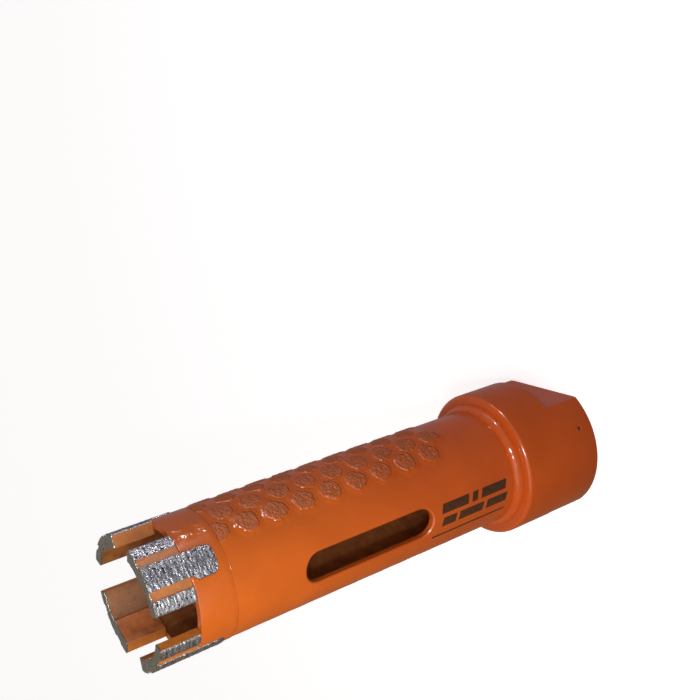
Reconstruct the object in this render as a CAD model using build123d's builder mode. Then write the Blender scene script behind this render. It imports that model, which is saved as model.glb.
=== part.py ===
"""Dry diamond core bit with side pads, in millimetres.

+Z runs from the hub's end face, where the origin is, to the cutting end. The slot faces -Y.
"""
import os
from math import cos, radians, sin

from build123d import *

# Segments: four on the crown, each with three ridges and two grooves
crown_radius = 12.7
segment_count = 4
segment_height = 7.9
segment_arc = 60.0
segment_corner = 0.4
middle_ridge_arc = 20.8
groove_arc = 7.4
groove_depth = 0.45
thick_inner_radius = 10.0
thin_inner_radius = 10.7

# Tongue that each segment sends down into the crown ring: one side is flush with the middle
# ridge, the other slopes out past it
tongue_length = 5.45
tongue_overhang = 0.8
tongue_neck_length = 0.4
tongue_slope_length = 0.9
tongue_corner = 1.5
tongue_thickness = 0.7
braze_gap = 0.02

# Crown ring, a band that is a little wider than the barrel
ring_height = 7.25
ring_step = 0.08

# Barrel
tube_radius = 12.36
tube_wall = 1.4
tube_length = 68.0

# Slot in the barrel
slot_width = 6.2
slot_length = 30.0
slot_below_crown = 44.75
slot_edge = 0.3

# Hub, whose shoulder is turned in three short steps that follow a round
hub_radius = 15.56
hub_length = 20.6
shoulder_radius = 0.95
shoulder_steps = 3
flat_distance = 12.05
flat_length = 9.35
flat_turn = 5.0
thread_bore_radius = 6.8
thread_mouth = 1.1
spigot_length = 4.5
spigot_edge = 0.5

# Weld bead between the hub's front face and the barrel
bead_width = 1.3
bead_height = 1.6
bead_crest_out = 1.04
bead_crest_up = 1.2

# Side pads: two strips of staggered rows
pad_radius = 2.22
pad_height = 0.36
pad_taper = 30.0
pad_sides = 12
pad_pitch = 6.04
pads_in_row = 9
row_letters = "abcd"
row_pitch = 19.1
first_pad_below_crown = 15.8

# Levels, sizes and turns that follow from the values above
ring_bottom = hub_length + tube_length
seat_level = ring_bottom + ring_height
crown_level = seat_level + segment_height
bore_radius = tube_radius - tube_wall
ring_radius = tube_radius + ring_step
spigot_radius = bore_radius - braze_gap
spigot_top = hub_length + spigot_length
ridge_half_width = crown_radius * sin(radians(middle_ridge_arc / 2))
segment_pitch = 360.0 / segment_count
front_right = -segment_pitch / 2
back_right = front_right + segment_pitch
back_left = back_right + segment_pitch
front_left = back_left + segment_pitch
right_strip = 0.0
left_strip = right_strip + 2 * segment_pitch

# Length by which a cutting shape passes the surface that it cuts, and the match between two points
spare = 1.0
near = 0.01


def polar(radius, angle):
    """Point at a radius and an angle in degrees."""
    return (radius * cos(radians(angle)), radius * sin(radians(angle)))


def arc(radius, start, end):
    """Arc about the axis from one angle to another."""
    return ThreePointArc(polar(radius, start), polar(radius, (start + end) / 2), polar(radius, end))


def outward_plane(angle):
    """Plane through the axis that faces outwards at an angle, with its Y along the axis."""
    across = (-sin(radians(angle)), cos(radians(angle)), 0)
    return Plane(origin=(0, 0, 0), x_dir=across, z_dir=(*polar(1, angle), 0))


def segment_section(middle, thick_side):
    """Cross-section of a segment whose inner face is thick on one side of its middle."""
    half = segment_arc / 2
    ridge = middle_ridge_arc / 2
    groove_radius = crown_radius - groove_depth
    if thick_side > 0:
        inner_radii = (thick_inner_radius, thin_inner_radius)
    else:
        inner_radii = (thin_inner_radius, thick_inner_radius)
    arcs = [
        (crown_radius, -half, -ridge - groove_arc),
        (groove_radius, -ridge - groove_arc, -ridge),
        (crown_radius, -ridge, ridge),
        (groove_radius, ridge, ridge + groove_arc),
        (crown_radius, ridge + groove_arc, half),
        (inner_radii[0], half, 0),
        (inner_radii[1], 0, -half),
    ]
    with BuildSketch(Plane.XY.offset(seat_level)) as section:
        with BuildLine():
            for index, (radius, start, end) in enumerate(arcs):
                next_radius = arcs[(index + 1) % len(arcs)][0]
                arc(radius, middle + start, middle + end)
                Line(polar(radius, middle + end), polar(next_radius, middle + end))
        make_face()
        ends = [polar(crown_radius, middle - half), polar(crown_radius, middle + half)]
        corners = section.vertices().filter_by(
            lambda point: min(abs(point.X - x) + abs(point.Y - y) for x, y in ends) < near
        )
        fillet(corners, segment_corner)
    return section.sketch


def tongue(angle, gap):
    """Tongue at an angle, or with a gap the pocket that takes it."""
    far_side = -ridge_half_width - tongue_overhang
    end = seat_level - tongue_length
    neck_end = seat_level - tongue_neck_length
    with BuildPart() as body:
        with BuildSketch(outward_plane(angle)) as outline:
            with BuildLine():
                Polyline(
                    (ridge_half_width, seat_level),
                    (ridge_half_width, end),
                    (far_side, end),
                    (far_side, neck_end - tongue_slope_length),
                    (-ridge_half_width, neck_end),
                    (-ridge_half_width, seat_level),
                    close=True,
                )
            make_face()
            fillet(outline.vertices().sort_by(Axis.Y)[:2], tongue_corner)
            if gap > 0:
                offset(amount=gap, kind=Kind.INTERSECTION)
        extrude(amount=crown_radius + spare)
        with BuildSketch():
            Circle(crown_radius + gap)
            Circle(crown_radius - tongue_thickness - gap, mode=Mode.SUBTRACT)
        extrude(amount=crown_level, mode=Mode.INTERSECT)
    return body.part


def pad_row(strip, row):
    """One row of a strip: dabs that lie on the barrel and stop at the crown ring."""
    middle_row = (len(row_letters) - 1) / 2
    angle = strip + (row - middle_row) * row_pitch
    first = crown_level - first_pad_below_crown - (row % 2) * pad_pitch / 2
    with BuildPart() as dabs:
        with BuildSketch(outward_plane(angle).offset(tube_radius + pad_height)):
            with Locations(*[(0, first - index * pad_pitch) for index in range(pads_in_row)]):
                RegularPolygon(pad_radius, pad_sides)
        extrude(amount=-pad_height - spare, taper=-pad_taper)
        with BuildSketch(Plane.XY.offset(hub_length)):
            Circle(tube_radius + pad_height)
            Circle(tube_radius, mode=Mode.SUBTRACT)
        extrude(amount=tube_length, mode=Mode.INTERSECT)
    return dabs.part


# Hub: turned body with a spigot, bored through, with two flats at its end
with BuildPart() as hub:
    with BuildSketch(Plane.XZ):
        with BuildLine():
            shoulder = []
            for step in range(shoulder_steps + 1):
                out, up = polar(shoulder_radius, step * 90.0 / shoulder_steps)
                shoulder.append((hub_radius - shoulder_radius + out, hub_length - shoulder_radius + up))
            Polyline(
                (thread_bore_radius + thread_mouth, 0),
                (hub_radius, 0),
                *shoulder,
                (spigot_radius, hub_length),
                (spigot_radius, spigot_top - spigot_edge),
                (spigot_radius - spigot_edge, spigot_top),
                (thread_bore_radius + spigot_edge, spigot_top),
                (thread_bore_radius, spigot_top - spigot_edge),
                (thread_bore_radius, thread_mouth),
                close=True,
            )
        make_face()
    revolve(axis=Axis.Z)
    with BuildSketch(Plane.XY.rotated((0, 0, flat_turn))):
        Circle(hub_radius + spare)
        Rectangle(2 * flat_distance, 2 * hub_radius + 2 * spare, mode=Mode.SUBTRACT)
    extrude(amount=flat_length, mode=Mode.SUBTRACT)

# Weld bead in the corner between the hub's front face and the barrel
with BuildPart() as weld_bead:
    with BuildSketch(Plane.XZ):
        with BuildLine():
            Polyline(
                (tube_radius, hub_length),
                (tube_radius + bead_width, hub_length),
                (tube_radius + bead_crest_out, hub_length + bead_crest_up),
                (tube_radius, hub_length + bead_height),
                close=True,
            )
        make_face()
    revolve(axis=Axis.Z)

# Barrel: tube with one long slot, whose outer edge is broken
with BuildPart() as barrel:
    with BuildSketch(Plane.XY.offset(hub_length)):
        Circle(tube_radius)
        Circle(bore_radius, mode=Mode.SUBTRACT)
    extrude(amount=tube_length)
    with BuildSketch(Plane.XZ):
        with Locations((0, crown_level - slot_below_crown)):
            SlotOverall(slot_length, slot_width, rotation=90)
    extrude(amount=tube_radius + spare, mode=Mode.SUBTRACT)
    tube_face = barrel.faces().filter_by(GeomType.CYLINDER).sort_by(SortBy.AREA)[-1]
    chamfer(tube_face.inner_wires().edges(), slot_edge)

# Crown ring: band with a pocket for each tongue
with BuildPart() as crown_ring:
    with BuildSketch(Plane.XY.offset(ring_bottom)):
        Circle(ring_radius)
        Circle(bore_radius, mode=Mode.SUBTRACT)
    extrude(amount=ring_height)
    for turn in (front_right, back_right, back_left, front_left):
        add(tongue(turn, braze_gap), mode=Mode.SUBTRACT)

# Segments, each with its tongue; their thick halves lie beside the pad strips
with BuildPart() as segment_front_right:
    extrude(segment_section(front_right, 1), amount=segment_height)
    add(tongue(front_right, 0))

with BuildPart() as segment_back_right:
    extrude(segment_section(back_right, -1), amount=segment_height)
    add(tongue(back_right, 0))

with BuildPart() as segment_back_left:
    extrude(segment_section(back_left, 1), amount=segment_height)
    add(tongue(back_left, 0))

with BuildPart() as segment_front_left:
    extrude(segment_section(front_left, -1), amount=segment_height)
    add(tongue(front_left, 0))

nodes = {
    "hub": hub.part,
    "weld_bead": weld_bead.part,
    "barrel": barrel.part,
    "crown_ring": crown_ring.part,
    "segment_front_right": segment_front_right.part,
    "segment_back_right": segment_back_right.part,
    "segment_back_left": segment_back_left.part,
    "segment_front_left": segment_front_left.part,
}
for row, letter in enumerate(row_letters):
    nodes["right_pads_" + letter] = pad_row(right_strip, row)
    nodes["left_pads_" + letter] = pad_row(left_strip, row)

os.makedirs("parts", exist_ok=True)
for name, solid in nodes.items():
    solid.label = name
    export_step(solid, "parts/" + name + ".step")
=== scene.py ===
"""Looks for the dry diamond core bit: glossy orange paint, gritty side pads and ground segments.

Lengths are in metres. The bit stands on its hub's end at z = 0, and the slot faces -Y.
"""
from math import atan2, ceil, cos, pi, radians, sin, sqrt

import bmesh
import bpy
import numpy as np
from mathutils import Matrix, Vector


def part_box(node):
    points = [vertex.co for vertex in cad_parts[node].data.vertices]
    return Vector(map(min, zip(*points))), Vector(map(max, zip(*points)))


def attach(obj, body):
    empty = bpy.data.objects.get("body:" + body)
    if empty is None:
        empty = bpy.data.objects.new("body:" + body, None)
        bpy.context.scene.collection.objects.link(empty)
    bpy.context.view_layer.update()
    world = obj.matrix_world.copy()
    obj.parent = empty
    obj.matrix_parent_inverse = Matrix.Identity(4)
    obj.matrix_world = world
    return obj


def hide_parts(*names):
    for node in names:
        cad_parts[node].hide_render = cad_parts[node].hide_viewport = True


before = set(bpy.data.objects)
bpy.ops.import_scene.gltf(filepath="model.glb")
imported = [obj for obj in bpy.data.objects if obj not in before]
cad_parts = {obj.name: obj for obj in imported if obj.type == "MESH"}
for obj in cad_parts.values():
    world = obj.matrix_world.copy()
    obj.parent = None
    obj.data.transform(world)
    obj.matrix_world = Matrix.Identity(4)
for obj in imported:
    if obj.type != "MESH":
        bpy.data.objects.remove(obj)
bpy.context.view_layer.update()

MM = 0.001

# Sizes read from the frame
HUB_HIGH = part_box("hub")[1]
BARREL_LOW, BARREL_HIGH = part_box("barrel")
BEAD_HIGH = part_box("weld_bead")[1]

HUB_RADIUS = HUB_HIGH.x
SPIGOT_TOP = HUB_HIGH.z
TUBE_RADIUS = BARREL_HIGH.x
HUB_LENGTH = BARREL_LOW.z
BEAD_RADIUS = BEAD_HIGH.x
BEAD_TOP = BEAD_HIGH.z
RING_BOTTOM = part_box("crown_ring")[0].z
CROWN_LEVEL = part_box("segment_front_right")[1].z

# Sizes of the frame's solids that a box doesn't give; a pad's radius is that of its foot
BORE_RADIUS = 10.96 * MM
SPIGOT_RADIUS = 10.94 * MM
SPIGOT_EDGE = 0.5 * MM
SHOULDER_RADIUS = 0.95 * MM
FLAT_DISTANCE = 12.05 * MM
FLAT_LENGTH = 9.35 * MM
FLAT_TURN = 5.0
CROWN_RADIUS = 12.7 * MM
GROOVE_RADIUS = 12.25 * MM
PAD_RADIUS = 2.4 * MM
PAD_HEIGHT = 0.36 * MM
PAD_PITCH = 6.04 * MM
PADS_IN_ROW = 9
ROWS_IN_STRIP = 4
ROW_PITCH = 19.1
FIRST_PAD = 87.95 * MM

# Thread in the hub, five eighths of an inch with eleven turns to the inch
THREAD_BORE = 6.8 * MM
THREAD_DEPTH = 1.1 * MM
THREAD_PITCH = 2.309 * MM
THREAD_MOUTH = 1.1 * MM


def place_object(name, mesh):
    obj = bpy.data.objects.new(name, mesh)
    bpy.context.scene.collection.objects.link(obj)
    return obj


def piece(name, verts, faces, replaces, material, sharp=35.0):
    """A mesh object that stands for CAD nodes and rides on the one body."""
    mesh = bpy.data.meshes.new(name)
    mesh.from_pydata([tuple(v) for v in verts], [], [tuple(f) for f in faces])
    mesh.validate()
    mesh.update()
    made = bmesh.new()
    made.from_mesh(mesh)
    bmesh.ops.recalc_face_normals(made, faces=made.faces)
    made.to_mesh(mesh)
    made.free()
    mesh.shade_smooth()
    mesh.set_sharp_from_angle(angle=radians(sharp))
    obj = place_object(name, mesh)
    mesh.materials.append(material)
    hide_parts(*replaces)
    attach(obj, "root")
    return obj


def grid_faces(rows, columns, closed=True):
    """Faces of a grid of rows that each hold the same number of points."""
    faces = []
    last = columns if closed else columns - 1
    for row in range(rows - 1):
        for column in range(last):
            a = row * columns + column
            b = row * columns + (column + 1) % columns
            faces.append((a, b, b + columns, a + columns))
    return faces


def ring_faces(rows, columns):
    """Faces of a closed ring: rows of points round the axis, and the last row joined to the first."""
    faces = grid_faces(rows, columns)
    end = (rows - 1) * columns
    for column in range(columns):
        following = (column + 1) % columns
        faces.append((end + column, end + following, following, column))
    return faces


def round_corner(centre, radius, start, end, steps):
    """Points on a small arc in a profile, from one angle to another in degrees."""
    points = []
    for step in range(steps + 1):
        angle = radians(start + (end - start) * step / steps)
        points.append((centre[0] + radius * cos(angle), centre[1] + radius * sin(angle)))
    return points


def keep_field(mesh, name, values):
    """Keeps one number for each point of a mesh, for its material to read."""
    mesh.attributes.new(name, "FLOAT", "POINT").data.foreach_set("value", np.ravel(values))


# Shader helpers

def node(tree, kind, **settings):
    made = tree.nodes.new(kind)
    for key, value in settings.items():
        if key in made.inputs:
            made.inputs[key].default_value = value
        else:
            setattr(made, key, value)
    return made


def own_place(tree):
    """A point's place in the part's own frame."""
    return node(tree, "ShaderNodeTexCoord").outputs["Object"]


def noise(tree, scale, detail=3.0, roughness=0.5, vector=None):
    texture = node(tree, "ShaderNodeTexNoise", Scale=scale, Detail=detail, Roughness=roughness)
    tree.links.new(own_place(tree) if vector is None else vector, texture.inputs["Vector"])
    return texture.outputs["Fac"]


def ramp(tree, source, stops):
    made = node(tree, "ShaderNodeValToRGB")
    while len(made.color_ramp.elements) < len(stops):
        made.color_ramp.elements.new(0.5)
    for element, (position, colour) in zip(made.color_ramp.elements, stops):
        element.position = position
        element.color = (*colour, 1.0)
    tree.links.new(source, made.inputs["Fac"])
    return made.outputs["Color"]


def math_node(tree, operation, *values, clamp=False):
    made = node(tree, "ShaderNodeMath", operation=operation, use_clamp=clamp)
    for index, value in enumerate(values):
        if isinstance(value, (int, float)):
            made.inputs[index].default_value = value
        else:
            tree.links.new(value, made.inputs[index])
    return made.outputs[0]


def soft_step(tree, value, low, high):
    """Rises smoothly from 0 to 1 between two values; falls where the first is the larger."""
    made = node(tree, "ShaderNodeMapRange", interpolation_type="SMOOTHSTEP")
    made.inputs["From Min"].default_value = low
    made.inputs["From Max"].default_value = high
    tree.links.new(value, made.inputs["Value"])
    return made.outputs["Result"]


def mix(tree, factor, first, second, blend="MIX"):
    made = node(tree, "ShaderNodeMix", data_type="RGBA", blend_type=blend)
    for socket, value in ((made.inputs[0], factor), (made.inputs[6], first), (made.inputs[7], second)):
        if isinstance(value, (int, float)):
            socket.default_value = value
        elif isinstance(value, tuple):
            socket.default_value = (*value, 1.0)
        else:
            tree.links.new(value, socket)
    return made.outputs[2]


def blend_number(tree, factor, first, second):
    return math_node(tree, "MULTIPLY_ADD", factor, second - first, first)


def bump(tree, height, strength, distance, under=None):
    made = node(tree, "ShaderNodeBump", Strength=strength, Distance=distance)
    tree.links.new(height, made.inputs["Height"])
    if under is not None:
        tree.links.new(under, made.inputs["Normal"])
    return made.outputs["Normal"]


def field(tree, name):
    return node(tree, "ShaderNodeAttribute", attribute_name=name).outputs["Fac"]


def place(tree):
    """Where a point lies: its distance from the axis, its turn from the slot's middle and its height."""
    split = node(tree, "ShaderNodeSeparateXYZ")
    tree.links.new(own_place(tree), split.inputs[0])
    x, y, z = split.outputs
    squares = math_node(tree, "MULTIPLY_ADD", y, y, math_node(tree, "MULTIPLY", x, x))
    radius = math_node(tree, "SQRT", squares)
    turn = math_node(tree, "ARCTAN2", x, math_node(tree, "MULTIPLY", y, -1.0))
    return radius, turn, z


def new_material(name):
    material = bpy.data.materials.new(name)
    material.use_nodes = True
    tree = material.node_tree
    return material, tree, tree.nodes["Principled BSDF"]


def link_shader(tree, shader, **sources):
    """Links the shader's sockets, which are named with _ for each space."""
    for name, source in sources.items():
        tree.links.new(source, shader.inputs[name.replace("_", " ")])


# Paint: orange that turns a little yellower and lighter towards the crown. A noise is given as
# scale, detail and roughness, a bump as strength and depth, and an edge as the two values
# between which it rises or falls.

ORANGE_HUB = (0.60, 0.096, 0.012)
ORANGE_CROWN = (0.60, 0.122, 0.014)
ORANGE_EDGE = (22 * MM, 96 * MM)
MOTTLE_NOISE = (90.0, 4.0)
MOTTLE = [(0.3, (0.90, 0.88, 0.88)), (0.7, (1.06, 1.07, 1.07))]
BARREL_INSIDE = [(0.38, (0.38, 0.125, 0.040)), (0.68, (0.54, 0.190, 0.050))]
# The ring's bore is darker than the barrel's bore: painted shade inside the crown
RING_INSIDE_PAINTED_SHADE = [(0.38, (0.24, 0.080, 0.030)), (0.68, (0.36, 0.130, 0.036))]
INSIDE_NOISE = (500.0, 5.0, 0.6)
INSIDE_EDGE = (BORE_RADIUS + 0.12 * MM, BORE_RADIUS + 0.05 * MM)
STAIN = (0.055, 0.030, 0.014)

PAINT_ROUGHNESS = 0.19
PAINT_IOR = 1.5
PAINT_GLOSS = 0.5
HUB_GLOSS = 0.33

# Waves of the paint, broad and fine: noise and bump
PAINT_WAVES = (
    ((330.0, 2.0), (0.10, 0.4 * MM)),
    ((2400.0, 2.0), (0.07, 0.1 * MM)),
)

# Wrinkles on the ring beside the pads: the turn of their middle is from +X towards -Y, and their
# edge is a cosine
WRINKLE_TURN = 16.0
WRINKLE_EDGE = (0.22, 0.05)
WRINKLE_NOISE = (480.0, 2.5)
WRINKLE_BUMP = (1.0, 0.45 * MM)
RUN_OUT_EDGE = (RING_BOTTOM - 0.1 * MM, RING_BOTTOM + 1.0 * MM)
RUN_OUT_BUMP = (1.0, 0.1 * MM)

PIT_PLACE = (8.1 * MM, -13.3 * MM, 3.8 * MM)
PIT_EDGE = (0.5 * MM, 0.15 * MM)
DENT_EDGE = (0.2 * MM, 0.7 * MM)
DENT_BUMP = (0.8, 0.3 * MM)


def orange(tree, height):
    """Paint colour, with a faint broad mottling."""
    base = mix(tree, soft_step(tree, height, *ORANGE_EDGE), ORANGE_HUB, ORANGE_CROWN)
    return mix(tree, 1.0, base, ramp(tree, noise(tree, *MOTTLE_NOISE), MOTTLE), "MULTIPLY")


def ring_wrinkles(tree, turn, height, normal):
    """The paint sags into wrinkles beside the pads and runs out softly at the ring's lower edge."""
    from_middle = math_node(tree, "COSINE", math_node(tree, "ADD", turn, radians(WRINKLE_TURN)))
    beside = soft_step(tree, math_node(tree, "ABSOLUTE", from_middle), *WRINKLE_EDGE)
    wrinkles = math_node(tree, "MULTIPLY", noise(tree, *WRINKLE_NOISE), beside)
    normal = bump(tree, wrinkles, *WRINKLE_BUMP, normal)
    return bump(tree, soft_step(tree, height, *RUN_OUT_EDGE), *RUN_OUT_BUMP, normal)


def paint_pit(tree, colour, normal):
    """A small dark pit in the paint with a soft dent round it."""
    away = node(tree, "ShaderNodeVectorMath", operation="DISTANCE")
    tree.links.new(own_place(tree), away.inputs[0])
    away.inputs[1].default_value = PIT_PLACE
    distance = away.outputs["Value"]
    colour = mix(tree, soft_step(tree, distance, *PIT_EDGE), colour, STAIN)
    dent = soft_step(tree, distance, *DENT_EDGE)
    return colour, bump(tree, dent, *DENT_BUMP, normal)


def paint(name, round_edges, gloss=PAINT_GLOSS, inside=None, print_field=False, ring=False, pit=False):
    """Glossy orange paint that lies slightly wavy over the metal and rounds its edges."""
    material, tree, shader = new_material(name)
    shader.inputs["Roughness"].default_value = PAINT_ROUGHNESS
    shader.inputs["IOR"].default_value = PAINT_IOR
    shader.inputs["Specular IOR Level"].default_value = gloss
    radius, turn, height = place(tree)
    colour = orange(tree, height)
    if print_field:
        colour = mix(tree, print_mask(tree, turn, height), colour, PRINT_DARK)
    if inside:
        bare = ramp(tree, noise(tree, *INSIDE_NOISE), inside)
        colour = mix(tree, soft_step(tree, radius, *INSIDE_EDGE), colour, bare)
    normal = node(tree, "ShaderNodeBevel", Radius=round_edges, samples=6).outputs["Normal"]
    for waves, relief in PAINT_WAVES:
        normal = bump(tree, noise(tree, *waves), *relief, normal)
    if ring:
        normal = ring_wrinkles(tree, turn, height, normal)
    if pit:
        colour, normal = paint_pit(tree, colour, normal)
    link_shader(tree, shader, Base_Color=colour, Normal=normal)
    return material


# Print between the slot and the hub: plain dark fields, two rows of blocks and a thin line.
# Each row: distance round the tube from the slot's middle, half of its height, and where along
# the tube its fields begin and end, in millimetres.
PRINT_ROWS = [
    (1.52, 1.04, [(41.6, 34.6), (33.6, 32.1), (31.1, 24.4)]),
    (-1.42, 0.98, [(41.6, 38.0), (37.2, 30.7), (29.8, 24.2)]),
    (-4.42, 0.26, [(44.0, 24.3)]),
]
PRINT_DARK = (0.034, 0.024, 0.012)
PRINT_EDGE = 0.07
PRINT_SLANT = 0.22
INK_NOISE = (1300.0, 3.0)
INK_THINNEST = 0.78
INK_CHANGE = 0.30


def within(tree, value, middle, half):
    """1 where a value lies nearer to a middle than half a width, with a soft edge."""
    away = math_node(tree, "ABSOLUTE", math_node(tree, "SUBTRACT", value, middle * MM))
    return soft_step(tree, away, (half + PRINT_EDGE) * MM, (half - PRINT_EDGE) * MM)


def print_mask(tree, turn, height):
    """Where the dark print lies, as fields with slanted ends and a slightly thin ink."""
    across = math_node(tree, "MULTIPLY", turn, TUBE_RADIUS)
    total = None
    for middle, half, lengths in PRINT_ROWS:
        band = within(tree, across, middle, half)
        shifted = math_node(tree, "SUBTRACT", across, middle * MM)
        slanted = math_node(tree, "MULTIPLY_ADD", shifted, PRINT_SLANT, height)
        for high, low in lengths:
            along = within(tree, slanted, (low + high) / 2, (high - low) / 2)
            part = math_node(tree, "MULTIPLY", band, along)
            total = part if total is None else math_node(tree, "MAXIMUM", total, part)
    ink = math_node(tree, "MULTIPLY_ADD", noise(tree, *INK_NOISE), INK_CHANGE, INK_THINNEST, clamp=True)
    return math_node(tree, "MULTIPLY", total, ink)


PAD_DARK = (0.35, 0.084, 0.010)
PAD_GLOSS = 0.32
POOLED_ROUGHNESS = 0.15
GRIT_ROUGHNESS = 0.40
SPECKLE_NOISE = (2300.0, 4.0, 0.6)
SPECKLE_EDGE = (0.36, 0.62)
GRIT_BUMP = (0.85, 0.25 * MM)
SAG_NOISE = (560.0, 3.0)
SAG_BUMP = (0.45, 0.4 * MM)


def pad_paint(name):
    """Paint over coarse grit: darker and rougher on the dabs, glossy where it pools between them."""
    material, tree, shader = new_material(name)
    shader.inputs["Specular IOR Level"].default_value = PAD_GLOSS
    height = place(tree)[2]
    top = field(tree, "dab")
    speckle = noise(tree, *SPECKLE_NOISE)
    dark = math_node(tree, "MULTIPLY", top, soft_step(tree, speckle, *SPECKLE_EDGE))
    colour = mix(tree, dark, orange(tree, height), PAD_DARK)
    on_dab = math_node(tree, "MULTIPLY", top, top)
    roughness = blend_number(tree, on_dab, POOLED_ROUGHNESS, GRIT_ROUGHNESS)
    normal = bump(tree, noise(tree, *SAG_NOISE), *SAG_BUMP)
    normal = bump(tree, math_node(tree, "MULTIPLY", speckle, top), *GRIT_BUMP, normal)
    link_shader(tree, shader, Base_Color=colour, Roughness=roughness, Normal=normal)
    return material


# Segments: colours of the ground metal by its relief, near black in its deep pits and scores as painted
# shade, of their ends, and of the paint on the rest

# The darkest stop is painted shade in the deep pits and scores
GREY_WITH_PAINTED_PIT_SHADE = [(0.34, (0.012, 0.011, 0.013)), (0.52, (0.12, 0.122, 0.142)),
               (0.72, (0.24, 0.245, 0.28)), (0.88, (0.46, 0.46, 0.50))]
END_GREY = [(0.35, (0.12, 0.12, 0.10)), (0.65, (0.24, 0.24, 0.21))]
OCHRE = (0.50, 0.150, 0.014)
INNER_ORANGE = (0.50, 0.140, 0.028)
INNER_OLIVE = (0.33, 0.115, 0.027)
BLOTCH = [(0.3, (0.78, 0.76, 0.74)), (0.7, (1.08, 1.08, 1.08))]
BLOTCH_NOISE = (700.0, 4.0)
STAIN_NOISE = (420.0, 5.0, 0.65)
STAIN_EDGE = (0.50, 0.72)
STAIN_MOST = 0.6

# The metal shows outside the grooves and at the crown, and the inner face is olive on its thin half
OUTSIDE_EDGE = (GROOVE_RADIUS + 0.13 * MM, GROOVE_RADIUS + 0.20 * MM)
END_EDGE = (CROWN_LEVEL - 0.30 * MM, CROWN_LEVEL - 0.20 * MM)
INNER_EDGE = (10.2 * MM, 10.5 * MM)
RAGGED_NOISE = (1800.0, 4.0, 0.6)
RAGGED_DEPTH = 0.24 * MM

STREAK_NOISE = (1750.0, 4.0, 0.55)
STREAK_STRETCH = 3.2 * MM
STREAK_BUMP = (0.55, 0.22 * MM)
SPECK_NOISE = (5200.0, 2.0)
SPECK_EDGE = (0.42, 0.62)
SPECK_BUMP = (0.5, 0.12 * MM)
END_NOISE = (4200.0, 3.0)
RELIEF_SHARE = 0.55
STREAK_SHARE = 0.6
BUMP_IN_PAINT = 0.25

METALLIC = 0.8
PAINTED_ROUGHNESS = 0.5
DULL_ROUGHNESS = 0.50
BRIGHT_ROUGHNESS = 0.18


def segment_finish(name):
    """Ground grey metal on the ridges, tongues and ends; paint left in the grooves and inside."""
    material, tree, shader = new_material(name)
    radius, turn, height = place(tree)

    # Where the metal shows, with a ragged edge to the paint
    ragged = math_node(tree, "MULTIPLY_ADD", noise(tree, *RAGGED_NOISE), RAGGED_DEPTH, -RAGGED_DEPTH / 2)
    outside = soft_step(tree, math_node(tree, "ADD", radius, ragged), *OUTSIDE_EDGE)
    end = soft_step(tree, math_node(tree, "ADD", height, ragged), *END_EDGE)
    metal = math_node(tree, "MAXIMUM", outside, end)

    # Grinding marks run round the axis
    round_way = node(tree, "ShaderNodeCombineXYZ")
    tree.links.new(math_node(tree, "MULTIPLY", turn, STREAK_STRETCH), round_way.inputs[0])
    tree.links.new(height, round_way.inputs[1])
    tree.links.new(radius, round_way.inputs[2])
    streak = noise(tree, *STREAK_NOISE, round_way.outputs[0])
    speck = noise(tree, *SPECK_NOISE)
    marks = math_node(tree, "MULTIPLY", streak, STREAK_SHARE)
    # The relief darkens the deepest pits and scores to near black: painted shade
    shade = math_node(tree, "MULTIPLY_ADD", field(tree, "relief"), RELIEF_SHARE, marks)
    end_grey = ramp(tree, noise(tree, *END_NOISE), END_GREY)
    grey = mix(tree, end, ramp(tree, shade, GREY_WITH_PAINTED_PIT_SHADE), end_grey)

    # Stained paint inside, and clean paint in the grooves and on the sides
    stain = soft_step(tree, noise(tree, *STAIN_NOISE), *STAIN_EDGE)
    inner = mix(tree, soft_step(tree, radius, *INNER_EDGE), INNER_ORANGE, INNER_OLIVE)
    inner = mix(tree, math_node(tree, "MULTIPLY", stain, STAIN_MOST), inner, STAIN)
    painted = mix(tree, field(tree, "inward"), OCHRE, inner)
    blotch = ramp(tree, noise(tree, *BLOTCH_NOISE), BLOTCH)
    painted = mix(tree, 1.0, painted, blotch, "MULTIPLY")

    bright = soft_step(tree, speck, *SPECK_EDGE)
    polished = blend_number(tree, bright, DULL_ROUGHNESS, BRIGHT_ROUGHNESS)
    smoother = math_node(tree, "SUBTRACT", polished, PAINTED_ROUGHNESS)
    rough = math_node(tree, "MAXIMUM", metal, BUMP_IN_PAINT)
    normal = bump(tree, math_node(tree, "MULTIPLY", streak, rough), *STREAK_BUMP)
    normal = bump(tree, math_node(tree, "MULTIPLY", speck, rough), *SPECK_BUMP, normal)
    link_shader(tree, shader,
                Base_Color=mix(tree, metal, painted, grey),
                Metallic=math_node(tree, "MULTIPLY", metal, METALLIC),
                Roughness=math_node(tree, "MULTIPLY_ADD", metal, smoother, PAINTED_ROUGHNESS),
                Normal=normal)
    return material


BARREL_PAINT = paint("tube_paint_glossy", 0.22 * MM, inside=BARREL_INSIDE, print_field=True)
RING_PAINT = paint("ring_paint_glossy", 0.25 * MM, inside=RING_INSIDE_PAINTED_SHADE, ring=True)
HUB_PAINT = paint("hub_paint_glossy", 0.2 * MM, gloss=HUB_GLOSS, pit=True)
PAD_PAINT = pad_paint("pad_paint_gritty")
SEGMENT_METAL = segment_finish("diamond_matrix_ground")


# Hub: a turned body with a thread inside and two flats

TURN_STEP = radians(3)
FLAT_HALF = atan2(sqrt(HUB_RADIUS ** 2 - FLAT_DISTANCE ** 2), FLAT_DISTANCE)
FLAT_END = FLAT_LENGTH - 0.01 * MM
OUTSIDE_RADIUS = 0.9 * FLAT_DISTANCE
HUB_EDGE = 0.25 * MM
THREAD_FLANK = 0.42
THREAD_ROOT = 0.86
ROWS_IN_TURN = 14

# Rows of points a little below and above the flats' ledge keep it crisp
ROW_BELOW_LEDGE = 0.1 * MM
ROW_ABOVE_LEDGE = 0.15 * MM

# Where the thread begins at the hub's end and at the spigot's, and the length of its rise there
THREAD_AT_HUB = (0.4 * MM, 0.8 * MM)
THREAD_AT_SPIGOT = (0.8 * MM, 1.2 * MM)


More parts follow.
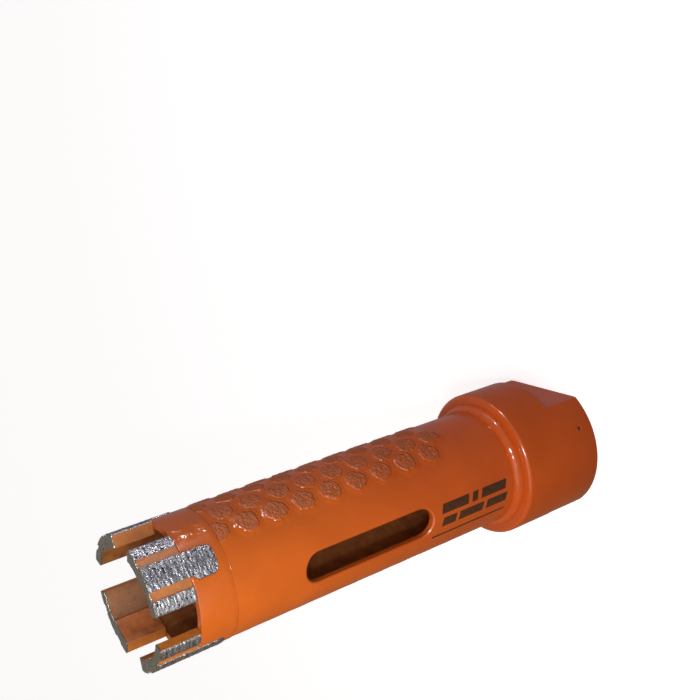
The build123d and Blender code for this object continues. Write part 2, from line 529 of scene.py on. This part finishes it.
def hub_angles():
    """Even angles, with a column on each corner of the flats."""
    angles = [index * TURN_STEP for index in range(int(round(2 * pi / TURN_STEP)))]
    for middle in (radians(FLAT_TURN), radians(FLAT_TURN) + pi):
        for corner in (middle - FLAT_HALF, middle + FLAT_HALF):
            corner %= 2 * pi
            angles = [a for a in angles if abs(a - corner) > TURN_STEP / 3]
            angles.append(corner)
    return sorted(angles)


def flat_limit(radius, angle):
    """Radius of a turned surface once the flats have cut it."""
    facing = abs(cos(angle - radians(FLAT_TURN)))
    return min(radius, FLAT_DISTANCE / facing) if facing > 1e-6 else radius


def thread_surface(height, angle):
    """Radius of the threaded bore: flat crests with V grooves that wind round it."""
    turn = (height / THREAD_PITCH - angle / (2 * pi)) % 1.0
    depth = max(0.0, 1.0 - abs(turn - 0.5) / THREAD_FLANK)
    fade = 1.0
    for inwards, (start, rise) in ((height, THREAD_AT_HUB), (SPIGOT_TOP - height, THREAD_AT_SPIGOT)):
        fade *= min(1.0, max(0.0, (inwards - start) / rise))
    return THREAD_BORE + THREAD_DEPTH * min(depth, THREAD_ROOT) * fade


def hub_surface(radius, height, angle):
    """Radius of the hub: the thread in the bore, and the flats on the outside of the hub's end."""
    if radius <= THREAD_BORE + 1e-9:
        return thread_surface(height, angle)
    if height <= FLAT_END and radius > OUTSIDE_RADIUS:
        return flat_limit(radius, angle)
    return radius


def hub_profile():
    """Closed profile of (radius, height) points, with many on the bore for the thread."""
    shoulder = (HUB_RADIUS - SHOULDER_RADIUS, HUB_LENGTH - SHOULDER_RADIUS)
    bore_top = SPIGOT_TOP - SPIGOT_EDGE
    bore_length = bore_top - THREAD_MOUTH
    rows = int(bore_length / (THREAD_PITCH / ROWS_IN_TURN))
    return [
        (THREAD_BORE + THREAD_MOUTH, 0.0),
        *round_corner((HUB_RADIUS - HUB_EDGE, HUB_EDGE), HUB_EDGE, -90, 0, 4),
        (HUB_RADIUS, FLAT_END - ROW_BELOW_LEDGE),
        (HUB_RADIUS, FLAT_END),
        (HUB_RADIUS, FLAT_LENGTH),
        (HUB_RADIUS, FLAT_LENGTH + ROW_ABOVE_LEDGE),
        *round_corner(shoulder, SHOULDER_RADIUS, 0, 90, 10),
        (SPIGOT_RADIUS, HUB_LENGTH),
        (SPIGOT_RADIUS, bore_top),
        (SPIGOT_RADIUS - SPIGOT_EDGE, SPIGOT_TOP),
        (THREAD_BORE + SPIGOT_EDGE, SPIGOT_TOP),
        (THREAD_BORE, bore_top),
        *[(THREAD_BORE, bore_top - row * bore_length / rows) for row in range(1, rows)],
        (THREAD_BORE, THREAD_MOUTH),
    ]


def make_hub():
    angles = hub_angles()
    profile = hub_profile()
    verts = []
    for radius, height in profile:
        for angle in angles:
            r = hub_surface(radius, height, angle)
            verts.append((r * cos(angle), r * sin(angle), height))
    faces = ring_faces(len(profile), len(angles))
    piece("hub_threaded", verts, faces, ["hub"], HUB_PAINT)


make_hub()


# Weld bead: a low uneven ring with faint ripples, in the corner of hub and barrel

BEAD_SEED = 7
BEAD_SUNK = 0.02 * MM
BEAD_STEPS = 14
BEAD_ROUNDNESS = 0.9
BEAD_WAVES = 6
BEAD_FIRST_WAVE = 3
WAVE_SIZE = 0.05
RIPPLES = 27
RIPPLE_SIZE = 0.022

# The ripples crowd and spread four times round the ring, and lean along the bead
CROWDS = 4
CROWD_SIZE = 2.2
RIPPLE_LEAN = 0.6


def make_bead():
    angles = [radians(index) for index in range(360)]
    phases = np.random.default_rng(BEAD_SEED).uniform(0, 2 * pi, BEAD_WAVES)
    inner = TUBE_RADIUS - BEAD_SUNK
    width = BEAD_RADIUS - TUBE_RADIUS
    height = BEAD_TOP - HUB_LENGTH
    verts = []
    for step in range(BEAD_STEPS + 1):
        along = step / BEAD_STEPS
        rise = along * pi / 2
        for angle in angles:
            waves = [sin((index + BEAD_FIRST_WAVE) * angle + phase) for index, phase in enumerate(phases)]
            wave = sum(waves) / BEAD_WAVES
            crowd = CROWD_SIZE * sin(CROWDS * angle + phases[0])
            ripple = sin(RIPPLES * angle + crowd + RIPPLE_LEAN * along)
            swell = 1.0 - (WAVE_SIZE * (1 - wave) + RIPPLE_SIZE * (1 - ripple)) * sin(2 * rise)
            r = inner + width * (cos(rise) ** BEAD_ROUNDNESS) * swell
            up = height * (sin(rise) ** BEAD_ROUNDNESS) * swell
            verts.append((r * cos(angle), r * sin(angle), HUB_LENGTH + up))
    verts += [(inner * cos(angle), inner * sin(angle), HUB_LENGTH) for angle in angles]
    faces = ring_faces(BEAD_STEPS + 2, len(angles))
    piece("weld_bead_painted", verts, faces, ["weld_bead"], HUB_PAINT)


make_bead()


# Side pads: dabs of grit under paint, joined by it into one skin for each strip

SKIN_STEP = 0.14 * MM
SKIN_MARGIN = 0.7 * MM
SKIN_SUNK = 0.08 * MM
SKIN_EDGE_SUNK = 0.02 * MM
OUTLINE_WAVES = (2, 3, 4, 5, 7, 10)
OUTLINE_SIZE = 0.045
THINNEST_DAB = 0.70
COARSE_GRAIN = 0.60 * MM
FINE_GRAIN = 0.29 * MM
COARSE_SHARE = 0.6
GRIT_LOW = 0.34
GRIT_RISE = 0.88

# A dab's slope, the rim inside its edge, and the paint that pools round it and less on it
DAB_SLOPE = (-0.10 * MM, 0.52 * MM)
DAB_TOP = (0.3, 0.95)
RIM_INWARDS = 0.30 * MM
RIM_WIDTH = 0.18 * MM
RIM_LOSS = 0.35
POOL_SLOPE = (-0.05 * MM, 0.25 * MM)
POOL_LOSS = 0.45
POOL_WIDTH = 0.62 * MM
POOL_HEIGHT = 0.13 * MM
POOL_MOST = 2.2
LIFT_MOST = 1.10


def grains(across, along, size, seed):
    """Closeness to the nearest of many scattered grains, from 0 to 1, over a surface."""
    count = 512
    shift = np.random.default_rng(seed).random((count, count, 3))
    u = across / size
    v = along / size
    base_u = np.floor(u).astype(int)
    base_v = np.floor(v).astype(int)
    nearest = np.full(u.shape, 9.0)
    tall = np.zeros(u.shape)
    for step_u in (-1, 0, 1):
        for step_v in (-1, 0, 1):
            cell_u = base_u + step_u
            cell_v = base_v + step_v
            spot = shift[cell_u % count, cell_v % count]
            away = np.hypot(cell_u + spot[..., 0] - u, cell_v + spot[..., 1] - v)
            closer = away < nearest
            nearest = np.where(closer, away, nearest)
            tall = np.where(closer, spot[..., 2], tall)
    return np.clip(1.0 - nearest, 0.0, 1.0) * (0.5 + 0.5 * tall)


def smooth_step(low, high, value):
    t = np.clip((value - low) / (high - low), 0.0, 1.0)
    return t * t * (3 - 2 * t)


def pad_relief(across, along, row_heights, seed):
    """Height of the skin above the barrel, and how much of each point is the top of a dab."""
    dice = np.random.default_rng(seed)
    top = np.zeros(across.shape)
    rim = np.zeros(across.shape)
    pooled = np.zeros(across.shape)
    for row in range(ROWS_IN_STRIP):
        side = across - radians((row - (ROWS_IN_STRIP - 1) / 2) * ROW_PITCH) * TUBE_RADIUS
        first = FIRST_PAD - (row % 2) * PAD_PITCH / 2
        for index in range(PADS_IN_ROW):
            up = along - first + index * PAD_PITCH
            facing = np.arctan2(up, side)
            uneven = 0.0
            for wave in OUTLINE_WAVES:
                size = dice.uniform(0.0, OUTLINE_SIZE)
                uneven = uneven + size * np.sin(wave * facing + dice.uniform(0, 2 * pi))
            inwards = PAD_RADIUS * (1.0 + uneven) - np.hypot(side, up)
            thickness = row_heights[row] * dice.uniform(THINNEST_DAB, 1.0)
            top = np.maximum(top, thickness * smooth_step(*DAB_SLOPE, inwards))
            rim = np.maximum(rim, np.exp(-(((inwards - RIM_INWARDS) / RIM_WIDTH) ** 2)))
            run_in = 1 - POOL_LOSS * smooth_step(*POOL_SLOPE, inwards)
            pooled += thickness * run_in * np.exp(-((np.maximum(-inwards, 0.0) / POOL_WIDTH) ** 2))
    coarse = grains(across, along, COARSE_GRAIN, seed + 1)
    fine = grains(across, along, FINE_GRAIN, seed + 2)
    grit = coarse * COARSE_SHARE + fine * (1 - COARSE_SHARE)
    lift = top * (GRIT_LOW + GRIT_RISE * grit) * PAD_HEIGHT
    lift += (1 - np.minimum(top, 1)) * np.minimum(pooled, POOL_MOST) * POOL_HEIGHT
    lift = np.minimum(lift, LIFT_MOST * PAD_HEIGHT) - SKIN_EDGE_SUNK
    return lift, smooth_step(*DAB_TOP, top) * (1 - RIM_LOSS * rim)


def pad_skin(name, strip, rows, row_heights, seed):
    """The painted skin over one strip of pads, closed by a plain back inside the barrel's wall."""
    half_turn = radians((ROWS_IN_STRIP - 1) / 2 * ROW_PITCH) + (PAD_RADIUS + SKIN_MARGIN) / TUBE_RADIUS
    last_pad = FIRST_PAD - PAD_PITCH / 2 - (PADS_IN_ROW - 1) * PAD_PITCH
    bottom = last_pad - PAD_RADIUS - SKIN_MARGIN
    columns = ceil(2 * half_turn * TUBE_RADIUS / SKIN_STEP) + 1
    levels = ceil((RING_BOTTOM - bottom) / SKIN_STEP) + 1
    turn = np.linspace(-half_turn, half_turn, columns)
    height = np.linspace(bottom, RING_BOTTOM, levels)
    across, along = np.meshgrid(turn * TUBE_RADIUS, height)
    lift, dab_top = pad_relief(across, along, row_heights, seed)

    angle = radians(strip) + across / TUBE_RADIUS
    radius = TUBE_RADIUS + lift
    skin = np.stack([radius * np.cos(angle), radius * np.sin(angle), along], axis=-1).reshape(-1, 3)
    sunk = TUBE_RADIUS - SKIN_SUNK
    back = []
    for level in (bottom, RING_BOTTOM):
        for value in radians(strip) + turn:
            back.append((sunk * cos(value), sunk * sin(value), level))
    verts = np.vstack([skin, np.array(back)])

    faces = grid_faces(levels, columns, closed=False)
    low = levels * columns
    high = low + columns
    last_row = (levels - 1) * columns
    for column in range(columns - 1):
        faces.append((low + column, low + column + 1, high + column + 1, high + column))
        faces.append((column, low + column, low + column + 1, column + 1))
        faces.append((last_row + column, last_row + column + 1, high + column + 1, high + column))
    for side in (0, columns - 1):
        edge = [level * columns + side for level in range(levels)]
        faces.append(tuple(edge + [high + side, low + side]))

    obj = piece(name, verts, faces, rows, PAD_PAINT, sharp=80.0)
    dab = np.zeros(len(verts))
    dab[:levels * columns] = dab_top.ravel()
    keep_field(obj.data, "dab", dab)


# The left strip's row beside the slot is thin, for the outline of the barrel is smooth there
STRIPS = (
    ("right", 0.0, (1.0, 1.0, 1.0, 1.0), 11),
    ("left", 180.0, (1.0, 1.0, 1.0, 0.15), 23),
)
for side, strip, row_heights, seed in STRIPS:
    rows = [side + "_pads_" + letter for letter in "abcd"]
    pad_skin(side + "_pad_strip", strip, rows, row_heights, seed)


# Segments: the frame's forms with a scored and pitted skin

SEGMENTS = ("segment_front_right", "segment_back_right", "segment_back_left", "segment_front_left")
SEGMENT_SEED = 40
VOXEL_IN_MM = 0.11
SCORE_GRAIN = 0.50 * MM
SCORE_STRETCH = 0.30
PIT_GRAIN = 0.42 * MM
SCORE_DEPTH = 0.11 * MM
HOLLOW_DEPTH = 0.12 * MM
PLAIN_DEPTH = 0.02 * MM
END_DEPTH = 0.03 * MM
END_HOLLOW_DEPTH = 0.05 * MM
RELIEF_SPAN = 0.20 * MM
RIDGE_SIDE = (GROOVE_RADIUS + 0.2 * MM, CROWN_RADIUS - 0.08 * MM)
CROWN_SIDE_EDGE = (CROWN_LEVEL - 0.3 * MM, CROWN_LEVEL - 0.1 * MM)
PIT_SIDE = (0.10, 0.30)
INWARD_EDGE = (0.45, 0.85)


def fine_mesh(node_name):
    """The node's own shape, remeshed finely in millimetres and given back in metres."""
    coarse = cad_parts[node_name].data.copy()
    coarse.transform(Matrix.Scale(1 / MM, 4))
    shape = place_object(node_name + "_shape", coarse)
    remesh = shape.modifiers.new("fine", "REMESH")
    remesh.mode = "VOXEL"
    remesh.voxel_size = VOXEL_IN_MM
    remesh.use_smooth_shade = True
    fine = bpy.data.meshes.new_from_object(shape.evaluated_get(bpy.context.evaluated_depsgraph_get()))
    bpy.data.objects.remove(shape)
    fine.transform(Matrix.Scale(MM, 4))
    return fine


def points_of(collection, name):
    """A three-number property of each point, as rows."""
    values = np.empty(len(collection) * 3)
    collection.foreach_get(name, values)
    return values.reshape(-1, 3)


def segment_skin(node_name, seed):
    """A segment with its ground faces scored round the axis."""
    fine = fine_mesh(node_name)
    places = points_of(fine.vertices, "co")
    normals = points_of(fine.vertex_normals, "vector")
    height = places[:, 2]
    radius = np.hypot(places[:, 0], places[:, 1])
    turn = np.arctan2(places[:, 1], places[:, 0])
    outer = smooth_step(*RIDGE_SIDE, radius)
    crown = smooth_step(*CROWN_SIDE_EDGE, height)
    score = grains(turn * TUBE_RADIUS * SCORE_STRETCH, height, SCORE_GRAIN, seed)
    pits = grains(turn * TUBE_RADIUS, height + radius, PIT_GRAIN, seed + 5)
    hollow = 1 - smooth_step(*PIT_SIDE, pits)
    scored = SCORE_DEPTH * (1 - score) + HOLLOW_DEPTH * hollow
    plain = PLAIN_DEPTH * (1 - pits)
    on_end = END_DEPTH * (1 - pits) + END_HOLLOW_DEPTH * hollow
    depth = np.where(crown > outer, crown * on_end, outer * scored + (1 - outer) * plain)
    facing_in = -(normals[:, 0] * np.cos(turn) + normals[:, 1] * np.sin(turn))
    fine.vertices.foreach_set("co", (places - normals * depth[:, None]).ravel())
    fine.update()
    keep_field(fine, "relief", 1.0 - depth / RELIEF_SPAN)
    keep_field(fine, "inward", smooth_step(*INWARD_EDGE, facing_in))
    obj = place_object(node_name + "_ground", fine)
    fine.materials.clear()
    fine.materials.append(SEGMENT_METAL)
    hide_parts(node_name)
    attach(obj, "root")


for index, name in enumerate(SEGMENTS):
    segment_skin(name, SEGMENT_SEED + 7 * index)

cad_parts["barrel"].data.materials[0] = BARREL_PAINT
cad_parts["crown_ring"].data.materials[0] = RING_PAINT


# Floor

FLOOR_REACH = 3.0
FLOOR_WHITE = (0.93, 0.93, 0.93, 1.0)
FLOOR_ROUGHNESS = 0.9
FLOOR_GLOW = 0.62


def flat_floor():
    """A pale floor that neither tints the part nor shows in its gloss."""
    corners = [(x * FLOOR_REACH, y * FLOOR_REACH, 0) for x, y in ((-1, -1), (1, -1), (1, 1), (-1, 1))]
    mesh = bpy.data.meshes.new("floor")
    mesh.from_pydata(corners, [], [(0, 1, 2, 3)])
    floor_object = place_object("floor", mesh)
    material, tree, shader = new_material("floor_pale")
    shader.inputs["Base Color"].default_value = FLOOR_WHITE
    shader.inputs["Roughness"].default_value = FLOOR_ROUGHNESS
    shader.inputs["Emission Color"].default_value = (1.0, 1.0, 1.0, 1.0)
    shader.inputs["Emission Strength"].default_value = FLOOR_GLOW
    mesh.materials.append(material)
    floor_object.visible_glossy = False
    floor_object.visible_diffuse = False


flat_floor()


# Camera, at the place that was fitted to the photograph

CAMERA_AT = Vector((101.47, -152.45, 162.32)) * MM
CAMERA_FORWARD = Vector((-0.3362, 0.7667, -0.547)).normalized()
CAMERA_DOWN = Vector((-0.9408, -0.2471, 0.2318)).normalized()
FOCAL_PIXELS = 1050.9
FRAME_PIXELS = 700.0


def make_camera():
    data = bpy.data.cameras.new("camera")
    data.sensor_width = 36.0
    data.lens = FOCAL_PIXELS / FRAME_PIXELS * data.sensor_width
    data.clip_start = 0.01
    camera = place_object("camera", data)
    right = CAMERA_DOWN.cross(CAMERA_FORWARD).normalized()
    up = -(CAMERA_FORWARD.cross(right)).normalized()
    turn = Matrix((right, up, -CAMERA_FORWARD)).transposed()
    camera.matrix_world = Matrix.Translation(CAMERA_AT) @ turn.to_4x4()
    bpy.context.scene.camera = camera


make_camera()


# Lights: a broad one beside the crown, a small one by the camera, and one from +X. Two more show
# only in the gloss.

FLASH_AT = CAMERA_AT + CAMERA_DOWN * 25 * MM
CROWN_SIDE = Vector((-5, -70, 112)) * MM
FAR_RIGHT = Vector((199, 64, 84)) * MM
NEAR_RIGHT = Vector((195, -4, 56)) * MM
NEAR_CROWN = Vector((0, -8, 84)) * MM
MIDDLE = Vector((0, 0, 50)) * MM
RIGHT_STRIP = Vector((10, 0, 60)) * MM


def area_light(name, at, towards, size, power, colour=(1, 1, 1), glossy_only=False):
    """A soft square light that faces a point; its size is in millimetres."""
    data = bpy.data.lights.new(name, "AREA")
    data.size = size * MM
    data.energy = power
    data.color = colour
    light = place_object(name, data)
    light.location = at
    light.rotation_euler = (towards - at).to_track_quat("-Z", "Y").to_euler()
    light.visible_camera = False
    light.visible_diffuse = not glossy_only


area_light("side", CROWN_SIDE, NEAR_CROWN, 100, 0.063, (1.0, 0.98, 0.80))
area_light("flash", FLASH_AT, MIDDLE, 8, 0.055)
area_light("top", FAR_RIGHT, RIGHT_STRIP, 24, 0.034, (1.0, 0.88, 0.86))
area_light("glint", NEAR_RIGHT, RIGHT_STRIP, 16, 0.17, (1.0, 0.90, 0.89), glossy_only=True)
area_light("sparkle", FLASH_AT, MIDDLE, 22, 0.46, glossy_only=True)


# Surroundings

WORLD_ABOVE = (0.575, 0.56, 0.595)
WORLD_ASIDE = (0.58, 0.475, 0.34)
WORLD_OVERHEAD = (0.21, 0.20, 0.22)
WORLD_LOW_ASIDE = (0.25, 0.145, 0.075)
WORLD_FRONT = (0.10, 0.09, 0.10)
WORLD_BEHIND = (0.27, 0.25, 0.29)

# Each way's share, as a factor and an addition to the direction's part along one axis
UP_SHARE = (4.0, 0.5)
BEHIND_SHARE = (0.5, 0.5)
ASIDE_SHARE = (-1.4, -0.1)
OVERHEAD_SHARE = (2.2, -0.9)


def studio_world():
    """Soft surroundings: bright from the horizon up, warmer at -X, dimmer overhead, and dim below."""
    world = bpy.data.worlds.new("studio")
    bpy.context.scene.world = world
    world.use_nodes = True
    tree = world.node_tree
    split = node(tree, "ShaderNodeSeparateXYZ")
    tree.links.new(node(tree, "ShaderNodeTexCoord").outputs["Generated"], split.inputs[0])
    x, y, z = split.outputs
    up = math_node(tree, "MULTIPLY_ADD", z, *UP_SHARE, clamp=True)
    behind = math_node(tree, "MULTIPLY_ADD", y, *BEHIND_SHARE, clamp=True)
    aside = math_node(tree, "MULTIPLY_ADD", x, *ASIDE_SHARE, clamp=True)
    overhead = math_node(tree, "MULTIPLY_ADD", z, *OVERHEAD_SHARE, clamp=True)
    below = mix(tree, aside, mix(tree, behind, WORLD_FRONT, WORLD_BEHIND), WORLD_LOW_ASIDE)
    above = mix(tree, overhead, mix(tree, aside, WORLD_ABOVE, WORLD_ASIDE), WORLD_OVERHEAD)
    tree.links.new(mix(tree, up, below, above), tree.nodes["Background"].inputs["Color"])


studio_world()
bpy.context.scene.view_settings.view_transform = "Standard"
